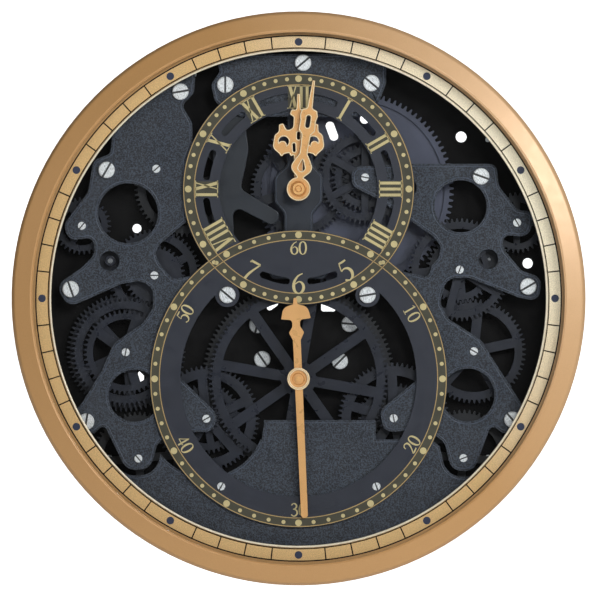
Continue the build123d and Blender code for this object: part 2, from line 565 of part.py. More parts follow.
def make_drives():
    make_drive_case("upper", UPPER, HOUR_TUBE_R + RUNNING, [minute_wheel.centre],
                    [upper_step.centre, upper_rotor.centre], [setting.centre])
    make_drive_case("lower", LOWER, SECONDS_ARBOR_R + RUNNING, [],
                    [lower_step.centre, lower_rotor.centre], [])

    arbor = rod(UPPER, MINUTE_ARBOR_R, (7.0, 53.6))
    arbor += gear(centre_wheel, "centre", CENTRE_LAYER, CENTRE_MODULE)
    arbor += gear(centre_wheel, "cannon", MOTION_LAYER, MOTION_MODULE)
    save("minute_arbor", arbor)
    tube = rod(UPPER, HOUR_TUBE_R, (HOUR_LAYER[0] - 0.4, HOUR_HAND[1] + 0.4))
    tube += gear(centre_wheel, "hour", HOUR_LAYER, HOUR_MODULE)
    tube -= rod(UPPER, MINUTE_ARBOR_R + RUNNING, (0, CASE_DEPTH))
    save("hour_tube", tube)
    pinned = gear(minute_wheel, "cannon", MOTION_LAYER, MOTION_MODULE)
    pinned += gear(minute_wheel, "hour", (MOTION_LAYER[1], HOUR_LAYER[1]), HOUR_MODULE)
    pinned -= rod(minute_wheel.centre, POST_R + RUNNING, (0, CASE_DEPTH))
    save("minute_wheel", pinned)
    knob = slab(disc(setting.centre, 6.0), (0.8, COVER[0] - 0.4))
    for index in range(18):
        knob -= slab(disc(polar(setting.centre, 6.4, 20 * index), 0.7), (0, COVER[0]))
    knob += rod(setting.centre, 1.5, (COVER[0] - 0.5, MOTION_LAYER[1]))
    knob += gear(setting, "cannon", MOTION_LAYER, MOTION_MODULE)
    save("setting_knob", knob)

    save("seconds_arbor", rod(LOWER, SECONDS_ARBOR_R, (7.0, SECONDS_HAND[1] + 1.4))
         + gear(seconds_wheel, "centre", CENTRE_LAYER, SECONDS_MODULE))
    for name, step, rotor, pinion_module, wheel_module in (
            ("upper", upper_step, upper_rotor, CENTRE_MODULE, STEP_MODULE),
            ("lower", lower_step, lower_rotor, SECONDS_MODULE, LOWER_STEP_MODULE)):
        wheel = gear(step, "step", STEP_LAYER, wheel_module)
        wheel += gear(step, "centre", (STEP_LAYER[1], CENTRE_LAYER[1]), pinion_module)
        wheel -= rod(step.centre, STEP_POST_R + RUNNING, (0, CASE_DEPTH))
        save(f"{name}_step_wheel", wheel)
        magnet = gear(rotor, "step", (STEP_LAYER[0] - 0.3, STEP_LAYER[1]), wheel_module)
        magnet += rod(rotor.centre, 3.0, (STEP_LAYER[1] + 0.4, CENTRE_LAYER[1]))
        magnet += rod(rotor.centre, 0.65, (STEP_LAYER[1], STEP_LAYER[1] + 0.4))
        magnet -= rod(rotor.centre, STEP_POST_R + RUNNING, (0, CASE_DEPTH))
        save(f"{name}_rotor", magnet)


def make_electrics():
    """Coils, stators, circuit boards, batteries and contacts, one of each in both drives."""
    coils = Part()
    stators = Part()
    boards = Part()
    batteries = Part()
    contacts = Part()
    depth, height = BATTERY
    for centre, rotor in ((UPPER, upper_rotor), (LOWER, lower_rotor)):
        x, z = centre
        place = Pos(x, 0, z)
        winding = Plane.YZ * Circle(2.8)
        coils += place * Pos(-3, -12, 22.6) * extrude(winding, 20)
        ring = disc(rotor.centre, 5.4) - disc(rotor.centre, 3.5)
        arm_top = z + 19.6
        arm = Rectangle(3.2, arm_top - rotor.centre[1], align=(Align.CENTER, Align.MIN))
        for side in (-6.4, 6.4):
            ring += Pos(rotor.centre[0] + side, rotor.centre[1]) * arm
        stators += slab(ring, (10.5, 11.3))
        board = Pos(x - 17.0, z + 22.5) * Rectangle(17, 7)
        boards += slab(board, (6.8, 7.8))
        cell = Plane.YZ * Circle(BATTERY_R)
        cell_part = Pos(-BATTERY_LENGTH / 2, -depth, height) * extrude(cell, BATTERY_LENGTH)
        nub = Plane.YZ * Circle(2.6)
        cell_part += Pos(BATTERY_LENGTH / 2, -depth, height) * extrude(nub, 1.2)
        batteries += place * cell_part
        leaves = Pos(25.9, 0) * Rectangle(0.5, 9) + Pos(-25.3, 0) * Rectangle(0.5, 9)
        contacts += slab(Pos(x, z + height) * leaves, (7.0, 16.0))
    save("coils", coils)
    save("stators", stators)
    save("circuit_boards", boards)
    save("batteries", batteries)
    save("battery_contacts", contacts)


# ---- hands --------------------------------------------------------------------------------------
def make_hands():
    """Three stamped hands. Hour and minute hands point up in their own frames."""
    hour = outline([(-0.9, 59, 0), (0.9, 59, 0), (1.3, 49, 1.5), (4.2, 49.6, 1.2), (5.6, 46.5, 1.2),
                    (3.0, 44.6, 1.2), (3.4, 38.0, 2.5), (7.2, 36.0, 2.5), (9.6, 40.8, 0.8),
                    (12.2, 40.0, 0.8), (12.4, 35.6, 2.0), (15.0, 33.6, 4.0), (16.2, 25.6, 4.0),
                    (11.8, 21.6, 2.0), (10.6, 19.8, 0.8), (9.0, 21.6, 0.8), (6.0, 22.4, 0.8),
                    (4.6, 20.0, 0.8), (3.0, 21.4, 1.5), (2.6, 6.0, 1.0), (-2.6, 6.0, 1.0),
                    (-3.0, 21.4, 1.5), (-4.6, 20.0, 0.8), (-6.0, 22.4, 0.8), (-9.0, 21.6, 0.8),
                    (-10.6, 19.8, 0.8), (-11.8, 21.6, 2.0), (-16.2, 25.6, 4.0), (-15.0, 33.6, 4.0),
                    (-12.4, 35.6, 2.0), (-12.2, 40.0, 0.8), (-9.6, 40.8, 0.8), (-7.2, 36.0, 2.5),
                    (-3.4, 38.0, 2.5), (-3.0, 44.6, 1.2), (-5.6, 46.5, 1.2), (-4.2, 49.6, 1.2),
                    (-1.3, 49, 1.5)])
    hour += Circle(7.2)
    for side in (-1, 1):
        hour -= disc((9.2 * side, 29.5), 3.1) - disc((10.0 * side, 27.2), 2.7)
        hour -= bar((2.9 * side, 23.8), (2.7 * side, 27.6), 1.7)
    hour -= bar((0, 31.6), (0, 34.6), 1.9)
    hour -= Circle(HOUR_TUBE_R)
    save("hour_hand", Pos(UPPER[0], 0, UPPER[1]) * slab(hour, HOUR_HAND))

    minute = outline([(-0.8, 68, 0), (0.8, 68, 0), (1.7, 50.5, 1.5), (4.8, 49.4, 1.2), (5.6, 46.0, 1.5),
                      (4.9, 42.5, 2.0), (5.2, 36.6, 2.0), (2.9, 34.0, 2.0), (2.6, 27.0, 3.0),
                      (2.5, 22.0, 2.0), (4.6, 18.6, 3.0), (7.4, 12.6, 4.5), (2.2, 7.4, 1.5),
                      (2.2, 4.0, 0), (-2.2, 4.0, 0), (-2.2, 7.4, 1.5), (-7.4, 12.6, 4.5),
                      (-4.6, 18.6, 3.0), (-2.5, 22.0, 2.0), (-2.6, 27.0, 3.0), (-2.9, 34.0, 2.0),
                      (-5.2, 36.6, 2.0), (-4.9, 42.5, 2.0), (-5.6, 46.0, 1.5), (-4.8, 49.4, 1.2),
                      (-1.7, 50.5, 1.5)])
    minute += Circle(7.4)
    minute -= bar((0, 39.6), (0, 44.8), 2.6)
    minute -= outline([(0, 19.0, 0.4), (2.3, 12.6, 1.6), (0, 10.6, 1.4), (-2.3, 12.6, 1.6)])
    minute -= Circle(MINUTE_ARBOR_R)
    minute = slab(Rot(0, 0, -MINUTE_TURN) * minute, MINUTE_HAND)
    save("minute_hand", Pos(UPPER[0], 0, UPPER[1]) * minute)
    nut = slab(Circle(3.7), (MINUTE_HAND[1], MINUTE_HAND[1] + 1.8))
    nut -= slab(Rot(0, 0, 20) * Rectangle(9, 0.7), (MINUTE_HAND[1] + 1.3, MINUTE_HAND[1] + 2))
    nut -= slab(Circle(MINUTE_ARBOR_R), (MINUTE_HAND[0], CASE_DEPTH))
    save("hand_nut", Pos(UPPER[0], 0, UPPER[1]) * nut)

    seconds = outline([(-2.1, -86.5, 1.9), (2.1, -86.5, 1.9), (2.4, 0, 0), (2.4, 24, 1.5),
                       (4.7, 28.8, 1.0), (2.4, 32.6, 2.0), (2.4, 36.6, 2.0), (9.2, 37.4, 0.5),
                       (7.6, 44.6, 5.0), (1.4, 46.4, 1.0), (0.9, 50.4, 0.7), (-0.9, 50.4, 0.7),
                       (-1.4, 46.4, 1.0), (-7.6, 44.6, 5.0), (-9.2, 37.4, 0.5), (-2.4, 36.6, 2.0),
                       (-2.4, 32.6, 2.0), (-4.7, 28.8, 1.0), (-2.4, 24, 1.5), (-2.4, 0, 0)])
    seconds += Circle(7.0)
    hand = slab(Rot(0, 0, SECONDS_TURN) * seconds, SECONDS_HAND)
    hand += slab(Circle(7.0) - Circle(5.3), (SECONDS_HAND[1], SECONDS_HAND[1] + 1.0))
    hand += slab(Circle(2.6), (SECONDS_HAND[0] - 1.6, SECONDS_HAND[1] + 0.6))
    hand -= slab(Circle(SECONDS_ARBOR_R), (0, CASE_DEPTH))
    save("seconds_hand", Pos(LOWER[0], 0, LOWER[1]) * hand)


os.makedirs("parts", exist_ok=True)
make_case()
make_base()
make_bridges()
make_dial()
make_train()
make_great_wheel()
make_hour_gear()
make_fasteners()
make_drives()
make_electrics()
make_hands()
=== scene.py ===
import json
import math

import bmesh
import bpy
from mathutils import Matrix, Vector


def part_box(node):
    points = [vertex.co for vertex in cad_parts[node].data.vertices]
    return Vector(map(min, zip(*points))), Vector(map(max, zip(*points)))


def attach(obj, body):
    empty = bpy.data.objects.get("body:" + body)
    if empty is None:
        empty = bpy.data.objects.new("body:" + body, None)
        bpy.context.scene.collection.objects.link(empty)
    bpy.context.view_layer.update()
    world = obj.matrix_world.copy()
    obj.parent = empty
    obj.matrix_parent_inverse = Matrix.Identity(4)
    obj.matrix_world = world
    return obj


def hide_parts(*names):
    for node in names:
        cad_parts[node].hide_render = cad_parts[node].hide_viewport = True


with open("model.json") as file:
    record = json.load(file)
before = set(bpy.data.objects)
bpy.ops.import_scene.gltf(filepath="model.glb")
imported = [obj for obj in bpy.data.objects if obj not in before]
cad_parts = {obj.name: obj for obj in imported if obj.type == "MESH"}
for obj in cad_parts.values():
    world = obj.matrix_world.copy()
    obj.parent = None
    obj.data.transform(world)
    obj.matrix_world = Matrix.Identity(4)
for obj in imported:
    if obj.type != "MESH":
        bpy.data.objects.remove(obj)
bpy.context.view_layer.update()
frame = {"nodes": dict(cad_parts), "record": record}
NODES = frame["nodes"]

# The frame is that of the CAD model, in metres: +Z up, and the front of the clock faces -Y.
# Sizes of the clock's own features are in millimetres and are multiplied by MM where a mesh is made.
MM = 0.001
BODY = "clock_body"       # the body that holds all that doesn't turn
SAME_SPOT = 0.000002      # corners closer than this are one corner, in metres


def centre_of(node):
    """The middle of a node's box, as (x, z) in millimetres."""
    low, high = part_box(node)
    return ((low[0] + high[0]) / 2 / MM, (low[2] + high[2]) / 2 / MM)


def front_of(node):
    """How far a node reaches from the wall towards the viewer, in millimetres."""
    return -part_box(node)[0][1] / MM


UPPER = centre_of("hour_tube")
LOWER = centre_of("great_wheel")
DIAL_FRONT = front_of("dial_plate")
RING_LIP = 0.5            # rise of the chapter ring's inner lip above its face
RING_FRONT = front_of("chapter_ring") - RING_LIP


def polar(centre, radius, clockwise):
    """A point at a clock angle in degrees: 0 is up and angles grow clockwise."""
    turn = math.radians(clockwise)
    return (centre[0] + radius * math.sin(turn), centre[1] + radius * math.cos(turn))


# ---- materials ----------------------------------------------------------------------------------
def linear(red, green, blue):
    """A display colour, 0 to 255, as the linear colour that a shader takes."""
    values = []
    for value in (red, green, blue):
        share = value / 255
        values.append(share / 12.92 if share <= 0.04045 else ((share + 0.055) / 1.055) ** 2.4)
    return (*values, 1.0)


# Painted light: gold paint grows lighter along this way, towards the lamp at the upper right, between two
# distances in metres.
PAINTED_LIGHT_WAY = (0.85, 0.0, 0.5)
PAINTED_LIGHT_FROM = 0.04
PAINTED_LIGHT_TO = 0.17


class Paint:
    """A Principled material with object-space noise for colour, roughness and bump."""

    def __init__(self, name, colour, roughness, metallic=0.0, specular=0.5, coat=0.0):
        self.material = bpy.data.materials.new(name)
        self.material.use_nodes = True
        self.tree = self.material.node_tree
        self.shader = self.tree.nodes["Principled BSDF"]
        self.colour = colour
        self.coordinates = self.tree.nodes.new("ShaderNodeTexCoord").outputs["Object"]
        self.shader.inputs["Base Color"].default_value = colour
        self.shader.inputs["Roughness"].default_value = roughness
        self.shader.inputs["Metallic"].default_value = metallic
        self.shader.inputs["Specular IOR Level"].default_value = specular
        self.shader.inputs["Coat Weight"].default_value = coat
        self.shader.inputs["Coat Roughness"].default_value = 0.25
        self.normal = None

    def node(self, kind, **values):
        made = self.tree.nodes.new(kind)
        for key, value in values.items():
            setattr(made, key, value)
        return made

    def link(self, output, target):
        self.tree.links.new(output, target)

    def noise(self, scale, detail=3.0, stretch=(1, 1, 1), distortion=0.0):
        """Noise over the object. `scale` counts its features per metre."""
        mapping = self.node("ShaderNodeMapping")
        mapping.inputs["Scale"].default_value = stretch
        self.link(self.coordinates, mapping.inputs["Vector"])
        texture = self.node("ShaderNodeTexNoise")
        texture.inputs["Scale"].default_value = scale
        texture.inputs["Detail"].default_value = detail
        texture.inputs["Distortion"].default_value = distortion
        self.link(mapping.outputs["Vector"], texture.inputs["Vector"])
        return texture.outputs["Fac"]

    def cells(self, scale):
        """Smooth cells over the object, dark in the middle of each."""
        texture = self.node("ShaderNodeTexVoronoi", feature="SMOOTH_F1")
        texture.inputs["Scale"].default_value = scale
        self.link(self.coordinates, texture.inputs["Vector"])
        return texture.outputs["Distance"]

    def spread(self, factor, low, high, to_low, to_high):
        """Maps a factor between two limits."""
        mapped = self.node("ShaderNodeMapRange")
        for name, value in (("From Min", low), ("From Max", high), ("To Min", to_low), ("To Max", to_high)):
            mapped.inputs[name].default_value = value
        self.link(factor, mapped.inputs["Value"])
        return mapped.outputs["Result"]

    def vary(self, factor, dark, light, low=0.35, high=0.65):
        """Colour between two tones of the paint, by a noise factor."""
        ramp = self.node("ShaderNodeValToRGB")
        ramp.color_ramp.elements[0].position = low
        ramp.color_ramp.elements[1].position = high
        ramp.color_ramp.elements[0].color = dark
        ramp.color_ramp.elements[1].color = light
        self.link(factor, ramp.inputs["Fac"])
        self.link(ramp.outputs["Color"], self.shader.inputs["Base Color"])

    def across(self, dark, light, grain, low, high):
        """Painted light: colour that grows lighter towards the upper right of the clock, where the lamp
        falls, broken up by a grain.
        """
        towards = self.node("ShaderNodeVectorMath", operation="DOT_PRODUCT")
        towards.inputs[1].default_value = PAINTED_LIGHT_WAY
        self.link(self.coordinates, towards.inputs[0])
        place = self.spread(towards.outputs["Value"], PAINTED_LIGHT_FROM, PAINTED_LIGHT_TO, 0.0, 1.0)
        mixed = self.node("ShaderNodeMix", data_type="RGBA")
        mixed.inputs["A"].default_value = dark
        mixed.inputs["B"].default_value = light
        self.link(place, mixed.inputs["Factor"])
        grey = self.spread(grain, 0.35, 0.65, low, high)
        broken = self.node("ShaderNodeMix", data_type="RGBA", blend_type="MULTIPLY")
        broken.inputs["Factor"].default_value = 1.0
        self.link(mixed.outputs["Result"], broken.inputs["A"])
        self.link(grey, broken.inputs["B"])
        self.link(broken.outputs["Result"], self.shader.inputs["Base Color"])

    def rough(self, factor, low, high):
        self.link(self.spread(factor, 0.3, 0.7, low, high), self.shader.inputs["Roughness"])

    def bump(self, height, strength, distance):
        made = self.node("ShaderNodeBump")
        made.inputs["Strength"].default_value = strength
        made.inputs["Distance"].default_value = distance
        self.link(height, made.inputs["Height"])
        if self.normal is not None:
            self.link(self.normal, made.inputs["Normal"])
        self.normal = made.outputs["Normal"]
        self.link(self.normal, self.shader.inputs["Normal"])


def shade(colour, factor):
    """A colour made darker or lighter by a factor."""
    return (*[value * factor for value in colour[:3]], 1.0)


def satin(name, colour, roughness, metallic=0.0, specular=0.5, coat=0.0, grain=900.0, contrast=0.12):
    """Smooth paint or plastic: faint cloudiness, fine orange peel and uneven gloss."""
    made = Paint(name, colour, roughness, metallic, specular, coat)
    made.vary(made.noise(60, 4), shade(colour, 1 - contrast), shade(colour, 1 + contrast))
    made.rough(made.noise(140, 5), roughness * 0.85, roughness * 1.15)
    made.bump(made.noise(grain, 2), 0.35, 0.00001)
    return made.material


def crinkle(name, colour):
    """Fine wrinkle-finish black paint: small hard wrinkles, with painted highlight on their crests and
    painted shade in their hollows, since the colour follows the bump.
    """
    made = Paint(name, colour, 0.62, specular=0.45)
    grains = made.noise(1300, 2, distortion=0.4)
    # Painted highlight and shade: the noise that raises the wrinkles also makes their crests pale and their
    # hollows dark.
    made.vary(grains, shade(colour, 0.35), shade(colour, 2.1), 0.4, 0.62)
    made.rough(made.noise(90, 3), 0.5, 0.68)
    made.bump(grains, 0.7, 0.00034)
    made.bump(made.cells(900), 0.3, 0.00016)
    return made.material


def gold_paint(name, colour, light, roughness, metallic, grain, depth, low, high):
    """Gold paint with a sandy grain and painted light, which turns `colour` into `light` towards the upper
    right. The grain scales the colour by `low` to `high`.
    """
    made = Paint(name, colour, roughness, metallic=metallic, coat=0.1)
    grains = made.noise(grain, 3)
    made.across(colour, light, grains, low, high)
    made.rough(made.noise(200, 3), roughness * 0.88, roughness * 1.12)
    made.bump(grains, 0.5, depth)
    return made.material


def brushed(name, colour, roughness, stretch=(1, 1, 14), metallic=1.0):
    """Metal with fine parallel lines."""
    made = Paint(name, colour, roughness, metallic=metallic)
    lines = made.noise(700, 3, stretch)
    made.vary(lines, shade(colour, 0.8), shade(colour, 1.1))
    made.rough(lines, roughness * 0.8, roughness * 1.3)
    made.bump(lines, 0.3, 0.00003)
    return made.material


def wound(name, colour):
    """Wire wound along X, seen as close rings."""
    made = Paint(name, colour, 0.35, metallic=0.8)
    wave = made.node("ShaderNodeTexWave", wave_type="BANDS", bands_direction="X")
    wave.inputs["Scale"].default_value = 800
    made.link(made.coordinates, wave.inputs["Vector"])
    made.vary(wave.outputs["Fac"], shade(colour, 0.45), shade(colour, 1.2), 0.2, 0.8)
    made.bump(wave.outputs["Fac"], 0.6, 0.0001)
    return made.material


def clear_glass(name):
    """Thin flat glass: see-through, with a gloss that grows towards grazing sight."""
    material = bpy.data.materials.new(name)
    material.use_nodes = True
    tree = material.node_tree
    tree.nodes.remove(tree.nodes["Principled BSDF"])
    clear = tree.nodes.new("ShaderNodeBsdfTransparent")
    clear.inputs["Color"].default_value = (0.97, 0.98, 0.98, 1.0)
    gloss = tree.nodes.new("ShaderNodeBsdfGlossy")
    gloss.inputs["Color"].default_value = (1.0, 1.0, 1.0, 1.0)
    gloss.inputs["Roughness"].default_value = 0.04
    facing = tree.nodes.new("ShaderNodeLayerWeight")
    facing.inputs["Blend"].default_value = 0.25
    share = tree.nodes.new("ShaderNodeMapRange")
    share.inputs["To Min"].default_value = 0.012
    share.inputs["To Max"].default_value = 0.22
    mixed = tree.nodes.new("ShaderNodeMixShader")
    tree.links.new(facing.outputs["Facing"], share.inputs["Value"])
    tree.links.new(share.outputs["Result"], mixed.inputs["Fac"])
    tree.links.new(clear.outputs["BSDF"], mixed.inputs[1])
    tree.links.new(gloss.outputs["BSDF"], mixed.inputs[2])
    tree.links.new(mixed.outputs["Shader"], tree.nodes["Material Output"].inputs["Surface"])
    return material


MATERIALS = {
    # The second colour of the bezel and of the ring is painted light, reached at their upper right, where
    # the lamp falls.
    "bezel": gold_paint("bezel_bronze_painted_light", linear(190, 145, 92), linear(216, 176, 132), 0.36, 0.12, 2400,
                        0.00001, 0.96, 1.04),
    "ring": gold_paint("ring_pale_gold_painted_light", linear(224, 184, 126), linear(255, 244, 218), 0.48, 0.3, 1700,
                       0.00012, 0.78, 1.12),
    # Painted highlight: the ring's inner lip is painted near white, standing in for the light that catches
    # its edge.
    "lip": satin("ring_lip_painted_highlight", linear(255, 240, 214), 0.28, 0.1, contrast=0.04),
    "crinkle": crinkle("black_crinkle_painted_crest_light", linear(43, 48, 58)),
    # The edge beads are real raised edges; their colour, lighter than the plates, is painted highlight.
    "rim": satin("black_rim_painted_highlight", linear(74, 82, 98), 0.32, contrast=0.15),
    "dial": satin("dial_blue_grey", linear(36, 39, 52), 0.4, grain=1600, contrast=0.07),
    "slate": satin("smooth_blue_grey", linear(34, 39, 50), 0.36, contrast=0.1),
    "bracket": satin("bracket_black", linear(31, 36, 45), 0.38, contrast=0.12),
    "disc": satin("disc_blue_grey", linear(72, 76, 96), 0.42, contrast=0.08),
    "gear": satin("gear_slate", linear(34, 37, 48), 0.3, contrast=0.2),
    # Painted shade: the gears at the back get a darker copy of the gear slate, standing in for the shade
    # deep in the clock.
    "gear_back_shaded": satin("gear_slate_painted_shade", linear(27, 28, 34), 0.34, contrast=0.2),
    "base": satin("base_brown_black", linear(14, 13, 14), 0.6, specular=0.12, contrast=0.25),
    "shell": crinkle("shell_black_painted_crest_light", linear(30, 31, 34)),
    "drive": satin("drive_black", linear(33, 34, 37), 0.38, contrast=0.2),
    "white": satin("white_plastic", linear(226, 223, 212), 0.45, contrast=0.04),
    "rubber": satin("black_rubber", linear(22, 22, 23), 0.8, contrast=0.2),
    "hand": satin("hand_gold", linear(238, 180, 116), 0.3, 0.15, coat=0.1, grain=2400, contrast=0.03),
    # Painted highlight: the pale gold lines along the hands' edges stand in for light catching their rounded
    # rims.
    "hand_rim_highlight": satin("hand_rim_highlight_gold", linear(255, 238, 200), 0.3, 0.1, contrast=0.03),
    "hub": satin("hub_dark_gold", linear(214, 150, 84), 0.28, 0.3, contrast=0.05),
    "nut": brushed("nut_brass", linear(250, 192, 122), 0.34, metallic=0.35),
    "screw": brushed("screw_nickel", linear(250, 252, 255), 0.28, (6, 1, 1), metallic=0.35),
    # Painted shadow: the slot floors are painted dark, standing in for the shade inside the slots.
    "slot": satin("screw_slot_painted_shadow", linear(58, 58, 60), 0.5, contrast=0.2),
    "steel": brushed("turned_steel", linear(150, 152, 156), 0.3),
    "copper": wound("coil_copper", linear(184, 98, 52)),
    "board": satin("board_green", linear(34, 92, 52), 0.4),
    "battery": satin("battery_wrap", linear(58, 66, 84), 0.3, coat=0.3, contrast=0.1),
    "glass": clear_glass("lens_glass"),
    "print_gold": satin("print_pale_gold", linear(208, 190, 138), 0.5, contrast=0.08),
    "print_line": satin("print_line_gold", linear(182, 152, 98), 0.5, contrast=0.08),
    "print_olive": satin("print_olive", linear(66, 62, 46), 0.55, contrast=0.12),
    "print_brown": satin("print_dark_brown", linear(20, 9, 7), 0.6, specular=0.1, contrast=0.1),
    "print_blue": satin("print_dark_blue", linear(34, 42, 70), 0.5, contrast=0.1),
}
BY_NODE = {
    "back_shell": "shell", "bezel": "bezel", "lens": "glass", "lens_gasket": "rubber",
    "chapter_ring": "ring", "hanger": "screw", "base_plate": "base", "fixed_toothed_disc": "disc",
    "left_bridge": "crinkle", "right_bridge": "crinkle", "bottom_bridge": "crinkle",
    "top_bridge": "crinkle", "centre_bridge": "slate", "upper_left_bracket": "bracket",
    "dial_plate": "dial", "pillars": "steel", "large_screws": "screw", "small_screws": "screw",
    "case_screws": "screw", "bush_nuts": "nut", "gear_pins": "steel", "upper_drive_case": "drive",
    "upper_drive_cover": "drive", "lower_drive_case": "drive", "lower_drive_cover": "drive",
    "coils": "copper", "stators": "steel", "circuit_boards": "board", "batteries": "battery",
    "battery_contacts": "screw", "hour_tube": "steel", "hour_hand": "hand", "minute_arbor": "nut",
    "minute_hand": "hand", "hand_nut": "nut", "minute_wheel": "white", "setting_knob": "white",
    "upper_step_wheel": "white", "upper_rotor": "white", "seconds_arbor": "nut",
    # The gears at the back take the darker slate, as painted shade.
    "seconds_hand": "hand", "great_wheel_rear": "gear_back_shaded", "lower_step_wheel": "white",
    "lower_rotor": "white", "left_bottom_gear": "gear_back_shaded", "right_bottom_gear": "gear_back_shaded",
    "left_hidden_gear": "gear_back_shaded",
}
OTHER_NODES = "gear"      # the paint of a node that BY_NODE leaves out
for node_name, node_object in NODES.items():
    chosen = MATERIALS[BY_NODE.get(node_name, OTHER_NODES)]
    for material_slot in node_object.material_slots:
        material_slot.material = chosen


# ---- pieces -------------------------------------------------------------------------------------
SLOTS = {entry["node"]: entry["material_slot"] for entry in frame["record"]["subparts"]}
BODY_OF = {}
for body_name, members in frame["record"]["behaviour"]["bodies"].items():
    for member in members:
        BODY_OF[member] = body_name


def add_piece(name, data, material, body):
    """A mesh or curve as a visible piece that rides on a body."""
    data.materials.clear()
    data.materials.append(MATERIALS[material])
    piece = bpy.data.objects.new(name, data)
    bpy.context.scene.collection.objects.link(piece)
    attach(piece, body)
    return piece


def rounded_copy(node, width, segments=2):
    """A node's own shape with its hard edges rounded, which stands for the node."""
    mesh = NODES[node].data.copy()
    made = bmesh.new()
    made.from_mesh(mesh)
    bmesh.ops.remove_doubles(made, verts=made.verts, dist=SAME_SPOT)
    bmesh.ops.dissolve_limit(made, angle_limit=math.radians(0.5), verts=made.verts, edges=made.edges)
    made.to_mesh(mesh)
    made.free()
    for name in ("custom_normal", "sharp_face", "sharp_edge"):
        if name in mesh.attributes:
            mesh.attributes.remove(mesh.attributes[name])
    for polygon in mesh.polygons:
        polygon.use_smooth = True
    material = BY_NODE.get(node, OTHER_NODES)
    piece = add_piece(f"{node}_rounded", mesh, material, BODY_OF[node])
    bevel = piece.modifiers.new("round", "BEVEL")
    bevel.width = width * MM
    bevel.segments = segments
    bevel.limit_method = "ANGLE"
    bevel.angle_limit = math.radians(35)
    bevel.harden_normals = True
    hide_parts(node)


class Flat:
    """Thin printed shapes that lie on a front face `depth` from the wall, drawn in (x, z)."""

    def __init__(self, depth, thickness):
        self.mesh = bmesh.new()
        self.depth = depth
        self.thickness = thickness

    def corners(self, points):
        return [self.mesh.verts.new((x * MM, -self.depth * MM, z * MM)) for x, z in points]

    def polygon(self, points):
        """A face with a simple outline."""
        self.mesh.faces.new(self.corners(points))

    def band(self, left, right, closed=False):
        """Quads between two lines of points."""
        first = self.corners(left)
        second = self.corners(right)
        count = len(first)
        for index in range(count if closed else count - 1):
            after = (index + 1) % count
            self.mesh.faces.new((first[index], second[index], second[after], first[after]))

    def ring(self, centre, inner, outer, steps=240):
        angles = [360 * step / steps for step in range(steps)]
        self.band([polar(centre, inner, angle) for angle in angles],
                  [polar(centre, outer, angle) for angle in angles], closed=True)

    def dot(self, centre, radius, steps=16):
        self.polygon([polar(centre, radius, -360 * step / steps) for step in range(steps)])

    def bar(self, start, end, width):
        along = Vector(end) - Vector(start)
        side = Vector((-along.y, along.x)).normalized() * width / 2
        corners = (Vector(start) - side, Vector(end) - side, Vector(end) + side, Vector(start) + side)
        self.polygon([(corner.x, corner.y) for corner in corners])

    def finish(self, name, material):
        """Turns every face to the viewer and raises it by the thickness."""
        bmesh.ops.recalc_face_normals(self.mesh, faces=self.mesh.faces)
        for face in self.mesh.faces:
            if face.normal.y > 0:
                face.normal_flip()
        raised = bmesh.ops.extrude_face_region(self.mesh, geom=list(self.mesh.faces))
        verts = [item for item in raised["geom"] if isinstance(item, bmesh.types.BMVert)]
        bmesh.ops.translate(self.mesh, verts=verts, vec=(0, -self.thickness * MM, 0))
        bmesh.ops.recalc_face_normals(self.mesh, faces=self.mesh.faces)
        mesh = bpy.data.meshes.new(name)
        self.mesh.to_mesh(mesh)
        self.mesh.free()
        add_piece(name, mesh, material, BODY)


# ---- numerals -----------------------------------------------------------------------------------
def smooth_line(points, steps=6):
    """A smooth curve through points of (x, z, half width)."""
    line = []
    last = len(points) - 1
    for index in range(last):
        before, start, end, after = (Vector(points[max(0, min(last, index + shift))])
                                     for shift in (-1, 0, 1, 2))
        for step in range(steps):
            t = step / steps
            line.append(0.5 * (2 * start + (end - before) * t
                               + (2 * before - 5 * start + 4 * end - after) * t ** 2
                               + (3 * start - before - 3 * end + after) * t ** 3))
    line.append(Vector(points[-1]))
    return line


